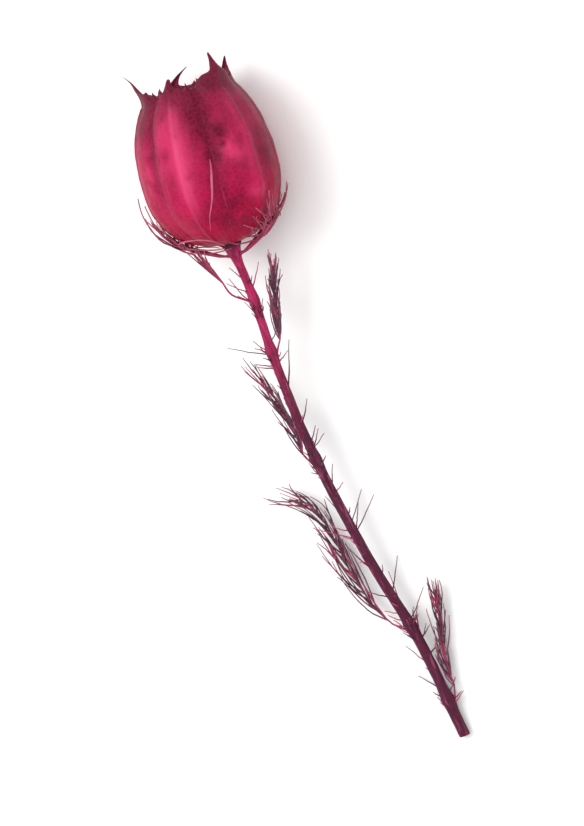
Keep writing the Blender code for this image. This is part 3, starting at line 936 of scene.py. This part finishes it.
def make_leaf(number):
    """A stem leaf dried to a narrow plume: a rib with threads on both sides that follow it to its tip."""
    distance, side, points = LEAVES[number]
    node, up_stem = stem_at(distance * MM)
    outward = Vector((side, 0, 0)) - up_stem * up_stem.x * side
    root = node + outward.normalized() * (stem_radius(distance * MM) + JOINT_GAP + SOLID_RIB)
    route = [root] + [Vector((POD_BASE.x + x * MM, POD_BASE.y + y * MM, z * MM)) for x, y, z in points]
    rib = [root] + [keep_clear(point, SOLID_RIB) for point in smooth_route(route, 3)[1:]]
    length = lengths_along(rib)[-1]
    low, _ = stem_at(distance * MM + 2.2 * MM)
    edge = node + outward.normalized() * stem_radius(distance * MM)
    threads = [([*smooth_route([low, edge, rib[1]], 4), *rib[2:]], RIB_RADIUS, THREAD_TIP)]
    total = LEAF_THREADS * LEAF_FILL
    for n in range(total):
        follows = n % LEAF_FILL == 0
        leading = n // LEAF_FILL if follows else n
        draw = random.Random((1000 if follows else 8000) + 100 * number + leading)
        place = 0.1 + 0.78 * n / (total - 1)
        _, ahead = along(rib, place)
        across = ahead.cross(Vector((0, 0, 1))).normalized() * (1 if leading % 2 else -1)
        aside = (across + Vector((0, 0, draw.uniform(-0.2, 0.8)))).normalized()
        reach = draw.uniform(0.3, 0.42) * (1 - 0.35 * place)
        spread = draw.uniform(0.16, 0.26) * reach * length
        if not follows:
            reach *= draw.uniform(0.8, 1.3) * (1 - 0.35 * place)
            spread *= draw.uniform(0.15, 0.9)
        curl = draw.uniform(-0.25, 0.35) * spread
        thread = [along(rib, place)[0]]
        for t in (0.25, 0.5, 0.75, 1.0):
            off = aside * (spread * math.sin(1.9 * t) ** 0.8 + curl * t**3)
            thread.append(keep_clear(along(rib, place + reach * t)[0] + off, THREAD_RADIUS))
        threads.append(thin_thread(thread, draw))
        if n % 3 == 1:
            tip = along(rib, place + 0.8 * reach)[0] + aside * spread * draw.uniform(1.1, 1.7)
            tip = keep_clear(tip, THREAD_RADIUS)
            fork = [thread[1], thread[2].lerp(tip, 0.4), tip]
            threads.append(thin_thread(fork, draw, thick=0.8))
    return draw_threads(f"leaf_threads_{number + 1}", threads, redness=-1.2)


# Materials


def feed(tree, node, inputs):
    """Sets a node's inputs. Each is a value, or the socket that feeds it."""
    for socket, value in inputs.items():
        if isinstance(value, bpy.types.NodeSocket):
            tree.links.new(value, node.inputs[socket])
        else:
            node.inputs[socket].default_value = value


def add(tree, kind, inputs=None, **settings):
    """A node with its settings and inputs."""
    made = tree.nodes.new(kind)
    for name, value in settings.items():
        setattr(made, name, value)
    feed(tree, made, inputs or {})
    return made


def maths(tree, operation, a, b=0.0, clamp=False):
    return add(tree, "ShaderNodeMath", {0: a, 1: b}, operation=operation, use_clamp=clamp).outputs[0]


def times(tree, first, *others):
    for other in others:
        first = maths(tree, "MULTIPLY", first, other)
    return first


def fade(tree, value, start, end):
    """A mask that goes smoothly from 0 where the value is start to 1 where it is end."""
    span = {"Value": value, "From Min": start, "From Max": end}
    return add(tree, "ShaderNodeMapRange", span, interpolation_type="SMOOTHSTEP").outputs["Result"]


def lay_over(tree, colour, shade, *masks):
    """The colour, with the shade over it as far as all the masks together let it."""
    inputs = {0: times(tree, *masks), 6: colour, 7: shade}
    return add(tree, "ShaderNodeMix", inputs, data_type="RGBA").outputs[2]


def noise(tree, vector, scale, detail=3.0, roughness=0.55, distortion=0.0):
    inputs = {"Vector": vector, "Scale": scale, "Detail": detail}
    inputs |= {"Roughness": roughness, "Distortion": distortion}
    return add(tree, "ShaderNodeTexNoise", inputs).outputs["Fac"]


def new_group(name, inputs, outputs):
    tree = bpy.data.node_groups.new(name, "ShaderNodeTree")
    for label, kind in inputs:
        tree.interface.new_socket(name=label, in_out="INPUT", socket_type=f"NodeSocket{kind}")
    for label, kind in outputs:
        tree.interface.new_socket(name=label, in_out="OUTPUT", socket_type=f"NodeSocket{kind}")
    return tree, tree.nodes.new("NodeGroupInput").outputs, tree.nodes.new("NodeGroupOutput")


def uneven_dye():
    """Dye taken up unevenly: deep blotches, and small pale places where it has rubbed away."""
    tree, given, result = new_group(
        "Uneven dye",
        (("Vector", "Vector"), ("Colour", "Color"), ("Deep", "Color"), ("Pale", "Color"), ("Scale", "Float"),
         ("Deep share", "Float"), ("Pale share", "Float")),
        (("Colour", "Color"), ("Grain", "Float")),
    )
    blotches = noise(tree, given["Vector"], given["Scale"], detail=4, distortion=0.6)
    specks = noise(tree, given["Vector"], times(tree, given["Scale"], 4.3), detail=5, roughness=0.65)
    colour = given["Colour"]
    colour = lay_over(tree, colour, given["Deep"], fade(tree, blotches, 0.44, 0.68), given["Deep share"])
    colour = lay_over(tree, colour, given["Pale"], fade(tree, specks, 0.56, 0.78), given["Pale share"])
    feed(tree, result, {"Colour": colour, "Grain": specks})
    return tree


def carpel_map():
    """From a place in the capsule's own frame: how far it is from the crest and the suture, and how high."""
    tree, given, result = new_group(
        "Carpel map",
        (("Vector", "Vector"),),
        (("From crest", "Float"), ("From suture", "Float"), ("Height", "Float"), ("Unrolled", "Vector")),
    )
    axes = add(tree, "ShaderNodeSeparateXYZ", {0: given["Vector"]}).outputs
    turn = maths(tree, "ARCTAN2", axes["X"], axes["Z"])
    squares = [maths(tree, "POWER", axes[axis], 2) for axis in "XZ"]
    radius = maths(tree, "SQRT", maths(tree, "ADD", *squares))
    turn_share = maths(tree, "ADD", maths(tree, "DIVIDE", turn, math.tau), 0.5)
    even = add(tree, "ShaderNodeFloatCurve", {"Value": turn_share})
    curve = even.mapping.curves[0]
    curve.points[0].location = (0, 0)
    curve.points[1].location = (1, 1)
    for place in range(TURNED_FROM, TURNED_TO + 1, 12):
        curve.points.new(turned(place) / 360 + 0.5, place / 360 + 0.5)
    even.mapping.update()
    lobes = times(tree, even.outputs["Value"], CARPELS)
    share = maths(tree, "FRACT", maths(tree, "ADD", lobes, CARPELS))
    off_crest = maths(tree, "ABSOLUTE", maths(tree, "SUBTRACT", share, 0.5))
    off_suture = maths(tree, "SUBTRACT", 0.5, off_crest)
    arc = times(tree, radius, math.radians(LOBE))
    unrolled = add(tree, "ShaderNodeCombineXYZ", {"X": times(tree, turn, UNROLLED_RADIUS), "Y": axes["Y"]})
    feed(tree, result, {
        "From crest": times(tree, off_crest, arc),
        "From suture": times(tree, off_suture, arc),
        "Height": maths(tree, "DIVIDE", axes["Y"], RIM_HEIGHT),
        "Unrolled": unrolled.outputs[0],
    })
    return tree


def new_material(name):
    made = bpy.data.materials.new(name)
    made.use_nodes = True
    tree = made.node_tree
    return made, tree, tree.nodes["Principled BSDF"], add(tree, "ShaderNodeTexCoord").outputs["Object"]


def place_group(tree, group, inputs):
    return add(tree, "ShaderNodeGroup", inputs, node_tree=group).outputs


def finish(tree, shader, colour, grain, rough, height, relief):
    """Feeds the shader: colour, roughness between two values by the grain, and relief that deep."""
    roughness = add(tree, "ShaderNodeMapRange", {"Value": grain, "To Min": rough[0], "To Max": rough[1]})
    bump = add(tree, "ShaderNodeBump", {"Height": height, "Strength": 1.0, "Distance": relief})
    feed(tree, shader, {"Base Color": colour, "Roughness": roughness.outputs[0], "Normal": bump.outputs[0]})


def spot(tree, own, turn, height, reach):
    """A mask that is 1 at a place on the capsule's wall and fades to 0 that far from it."""
    away = UPPER_HEIGHT if height > WIDEST_HEIGHT else WIDEST_HEIGHT
    radius = WIDEST_RADIUS * (1 - (abs(height - WIDEST_HEIGHT) / away) ** FULLNESS) ** (1 / FULLNESS)
    middle = LAID_DOWN @ upright(math.radians(turn), 0.95 * radius, height)
    off = add(tree, "ShaderNodeVectorMath", {0: own, 1: middle}, operation="DISTANCE").outputs["Value"]
    return fade(tree, off, reach, 0.0)


def capsule_finish(dye, carpels):
    """Satin papery case: vivid below, mauve to the crown, pale crests that are partly painted highlight,
    sutures darkened with painted shade, painted highlights and shade in patches, and a net of veins.
    """
    made, tree, shader, place = new_material("crimson_capsule")
    back = POD_FRAME.to_3x3().transposed()
    laid = {"Vector": place, "Rotation": back.to_euler("XYZ"), "Location": -(back @ POD_BASE)}
    own = add(tree, "ShaderNodeMapping", laid).outputs[0]
    on = place_group(tree, carpels, {"Vector": own})
    broad = noise(tree, own, 130, detail=2)
    height = maths(tree, "ADD", on["Height"], times(tree, maths(tree, "SUBTRACT", broad, 0.5), 0.5))
    ramp = add(tree, "ShaderNodeValToRGB", {0: maths(tree, "DIVIDE", height, CROWN_TOP)})
    stops = ((0.0, LOW_CRIMSON), (0.4, CRIMSON), (0.84, MAUVE), (1.06, CROWN_BROWN))
    for n, (share, colour) in enumerate(stops):
        elements = ramp.color_ramp.elements
        stop = elements[n] if n < 2 else elements.new(share / CROWN_TOP)
        stop.position = share / CROWN_TOP
        stop.color = colour
    dyed = place_group(tree, dye, {
        "Vector": own, "Colour": ramp.outputs[0], "Deep": DEEP_WINE, "Pale": ROSE, "Scale": 210.0,
        "Deep share": 0.4, "Pale share": 0.15,
    })
    colour = dyed["Colour"]
    # Patchy noise that breaks up the rubbed places, the painted highlights and the painted shade
    patchy_wear_and_light = noise(tree, own, 300, detail=2)
    broken = fade(tree, patchy_wear_and_light, 0.25, 0.62)
    # Rose spots are rubbed dye and painted highlights; deep wine spots are gathered dye and painted shade
    for spots, shade in ((WORN_AND_HIGHLIGHT_SPOTS, ROSE), (DEEP_DYE_AND_SHADE_SPOTS, DEEP_WINE)):
        for turn, climb, reach, strength in spots:
            mask = spot(tree, own, turn, climb * MM, reach * MM)
            colour = lay_over(tree, colour, shade, mask, strength, broken)
    stretched = add(tree, "ShaderNodeMapping", {"Vector": on["Unrolled"], "Scale": (1, 0.16, 1)}).outputs[0]
    streaks = noise(tree, stretched, 900, detail=4, roughness=0.6)
    colour = lay_over(tree, colour, DEEP_WINE, fade(tree, streaks, 0.45, 0.7), 0.25)
    # Painted shade: the suture grooves darkened, more towards the crown
    groove = times(tree, fade(tree, on["From suture"], 2.4 * MM, 0.0), fade(tree, on["Height"], -0.1, 0.75))
    colour = lay_over(tree, colour, DEEP_WINE, groove, maths(tree, "ADD", broad, 0.2, clamp=True), 0.8)
    # Pale crests, strongest on the front crest: partly the ridges' own paler colour, partly a painted
    # highlight
    front = maths(tree, "ADD", spot(tree, own, turned(0), 14 * MM, 14 * MM), 0.2)
    bare_and_highlit = times(tree, fade(tree, patchy_wear_and_light, 0.0, 0.5), front, fade(tree, on["Height"], 0.1, 0.4))
    bare_and_highlit = times(tree, bare_and_highlit, fade(tree, on["Height"], 1.02, 0.92))
    for near, far, strength, shade in ((0.4, 3.4, 0.45, ROSE), (0.4, 1.4, 0.25, PALE_PINK)):
        crest = fade(tree, on["From crest"], far * MM, near * MM)
        colour = lay_over(tree, colour, shade, crest, bare_and_highlit, strength)
    line = times(tree, fade(tree, on["From suture"], 0.2 * MM, 0.08 * MM), fade(tree, patchy_wear_and_light, 0.4, 0.62))
    colour = lay_over(tree, colour, PALE_PINK, line, fade(tree, on["Height"], 0.75, 0.5), 0.12)
    drift = add(tree, "ShaderNodeTexNoise", {"Vector": own, "Scale": 900.0, "Detail": 2.0}).outputs["Color"]
    drift = add(tree, "ShaderNodeVectorMath", {0: drift, 3: 0.0008}, operation="SCALE").outputs[0]
    bent = add(tree, "ShaderNodeVectorMath", {0: on["Unrolled"], 1: drift}, operation="ADD").outputs[0]
    net = add(tree, "ShaderNodeTexVoronoi", {"Vector": bent, "Scale": 1350.0}, feature="DISTANCE_TO_EDGE")
    vein = fade(tree, net.outputs["Distance"], 0.2, 0.0)
    colour = lay_over(tree, colour, PALE_PINK, vein, 0.05)
    relief = maths(tree, "ADD", times(tree, vein, 0.15), times(tree, streaks, 0.6))
    relief = maths(tree, "ADD", relief, times(tree, dyed["Grain"], 0.5))
    finish(tree, shader, colour, dyed["Grain"], (0.34, 0.52), relief, 0.07 * MM)
    feed(tree, shader, {"Specular IOR Level": 0.06, "Coat Weight": 0.04, "Coat Roughness": 0.28})
    return made


def stem_finish(dye):
    """Matte ribbed stem: rose at the top, browner down, near black at the seat, paler on the ribs."""
    made, tree, shader, place = new_material("rose_brown_stem")
    axes = add(tree, "ShaderNodeSeparateXYZ", {0: place}).outputs
    down = fade(tree, axes["Y"], POD_BASE.y - 4 * MM, POD_BASE.y - 34 * MM)
    colour = lay_over(tree, STEM_ROSE, STEM_BROWN, down)
    stretched = add(tree, "ShaderNodeMapping", {"Vector": place, "Scale": (1, 0.06, 1)}).outputs[0]
    streaks = noise(tree, stretched, 2600, detail=4)
    dyed = place_group(tree, dye, {
        "Vector": place, "Colour": colour, "Deep": PLUM, "Pale": STEM_PALE, "Scale": 260.0,
        "Deep share": 0.55, "Pale share": 0.4,
    })
    colour = lay_over(tree, dyed["Colour"], PLUM, fade(tree, streaks, 0.5, 0.66), 0.5)
    colour = lay_over(tree, colour, STEM_PALE, fade(tree, streaks, 0.46, 0.3), 0.3)
    seat = fade(tree, axes["Y"], POD_BASE.y - 1.4 * MM, POD_BASE.y - 0.3 * MM)
    colour = lay_over(tree, colour, PLUM, seat)
    cut_y = STEM[-1].y
    cut = fade(tree, axes["Y"], cut_y + 0.12 * MM, cut_y + 0.02 * MM)
    colour = lay_over(tree, colour, PITH, cut, 0.8)
    relief = maths(tree, "ADD", streaks, times(tree, dyed["Grain"], 0.5))
    finish(tree, shader, colour, dyed["Grain"], (0.5, 0.75), relief, 0.06 * MM)
    feed(tree, shader, {"Specular IOR Level": 0.2})
    return made


def thread_finish(dye):
    """Dried threads: dark plum and crimson ones side by side, some with pale dry tips."""
    made, tree, shader, place = new_material("plum_threads")
    far = add(tree, "ShaderNodeAttribute", attribute_name="along").outputs["Fac"]
    own = add(tree, "ShaderNodeAttribute", attribute_name="shade").outputs["Fac"]
    colour = lay_over(tree, PLUM, THREAD_MAUVE, fade(tree, own, -0.5, -0.9))
    colour = lay_over(tree, colour, THREAD_CRIMSON, fade(tree, own, 0.3, 0.75))
    tip = times(tree, fade(tree, far, 0.45, 1.0), 0.3)
    # Threads with a shade above 1.2 are pale all along: partly dry colour, partly painted glints
    tip = maths(tree, "MAXIMUM", tip, fade(tree, own, 1.2, 2.2))
    colour = lay_over(tree, colour, THREAD_PALE, tip)
    dyed = place_group(tree, dye, {
        "Vector": place, "Colour": colour, "Deep": PLUM, "Pale": THREAD_PALE, "Scale": 500.0,
        "Deep share": 0.5, "Pale share": 0.4,
    })
    finish(tree, shader, dyed["Colour"], dyed["Grain"], (0.45, 0.7), dyed["Grain"], 0.03 * MM)
    return made


def floor_finish():
    made, tree, shader, place = new_material("white_table")
    grain = noise(tree, place, 60, detail=2)
    colour = lay_over(tree, FLOOR_WHITE, FLOOR_GREY, grain, 0.04)
    finish(tree, shader, colour, grain, (0.75, 0.85), grain, 0.01 * MM)
    return made


# The set


CAMERA_AZIMUTH = math.radians(90)
CAMERA_ELEVATION = math.radians(72)
CAMERA_LEAN = math.radians(21.1)  # the crown leans this far to the left on the picture
CAMERA_DISTANCE = 0.55
SENSOR = 36
VIEW_HEIGHT = 0.127  # what the picture shows from top to bottom, in metres
AIM_OFF = 0.5 * MM  # how far the camera looks past the middle, towards +X
AIM_HEIGHT = 0.01  # of the lights
ROOM_LIGHT = 0.85
# Lights: name, place, size and power
LIGHTS = (
    ("window", (-0.28, 0.26, 0.64), 0.45, 2.3),
    ("sky", (0.05, 0.12, 0.95), 1.1, 2.7),
)


def put(data, place, facing):
    made = bpy.data.objects.new(data.name, data)
    bpy.context.scene.collection.objects.link(made)
    made.location = place
    made.rotation_mode = "QUATERNION"
    made.rotation_quaternion = facing
    return made


def make_camera():
    data = bpy.data.cameras.new("camera")
    data.sensor_fit = "VERTICAL"
    data.sensor_height = SENSOR
    data.lens = SENSOR * CAMERA_DISTANCE / VIEW_HEIGHT
    data.clip_start = 0.01
    away = Vector((
        math.sin(CAMERA_AZIMUTH) * math.cos(CAMERA_ELEVATION),
        -math.cos(CAMERA_AZIMUTH) * math.cos(CAMERA_ELEVATION),
        math.sin(CAMERA_ELEVATION),
    ))
    low, high = CAD_BOX
    target = (low + high) / 2
    target.x += AIM_OFF
    roll = Matrix.Rotation(math.radians(-90) - CAMERA_LEAN, 4, "Z").to_quaternion()
    facing = (-away).to_track_quat("-Z", "Y") @ roll
    bpy.context.scene.camera = put(data, target + away * CAMERA_DISTANCE, facing)


def make_light(name, place, size, power):
    data = bpy.data.lights.new(name, "AREA")
    data.shape = "DISK"
    data.size = size
    data.energy = power
    put(data, place, (Vector((0, 0, AIM_HEIGHT)) - Vector(place)).to_track_quat("-Z", "Y"))


def make_set():
    bpy.ops.object.select_all(action="DESELECT")
    bpy.ops.mesh.primitive_plane_add(size=4)
    floor = bpy.context.object
    floor.name = "table"
    floor.data.materials.append(floor_finish())
    world = bpy.data.worlds.new("room")
    world.use_nodes = True
    background = world.node_tree.nodes["Background"]
    feed(world.node_tree, background, {"Color": (1, 1, 1, 1), "Strength": ROOM_LIGHT})
    bpy.context.scene.world = world
    for light in LIGHTS:
        make_light(*light)
    bpy.context.scene.view_settings.view_transform = "Standard"
    make_camera()


# Putting it together


def dress(piece, slot, material, *nodes):
    piece.data.materials.clear()
    piece.data.materials.append(material)
    piece.data.shade_smooth()
    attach(piece, "root")
    if nodes:
        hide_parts(*nodes)


dye = uneven_dye()
threads_material = thread_finish(dye)
capsule = make_capsule()
dress(capsule, "dyed_capsule", capsule_finish(dye, carpel_map()), "capsule")
dress(make_stem(), "dyed_stem", stem_finish(dye), "stem")
for number in range(len(BRACTS)):
    dress(make_bract(number), "dyed_threads", threads_material, f"bract_{number + 1}")
dress(make_low_bract(), "dyed_threads", threads_material, "bract_5")
for number in range(len(LEAVES)):
    dress(make_leaf(number), "dyed_threads", threads_material, f"leaf_{number + 1}")
for piece in (make_fibre(capsule), make_wisps()):
    dress(piece, "dyed_threads", threads_material)
make_set()
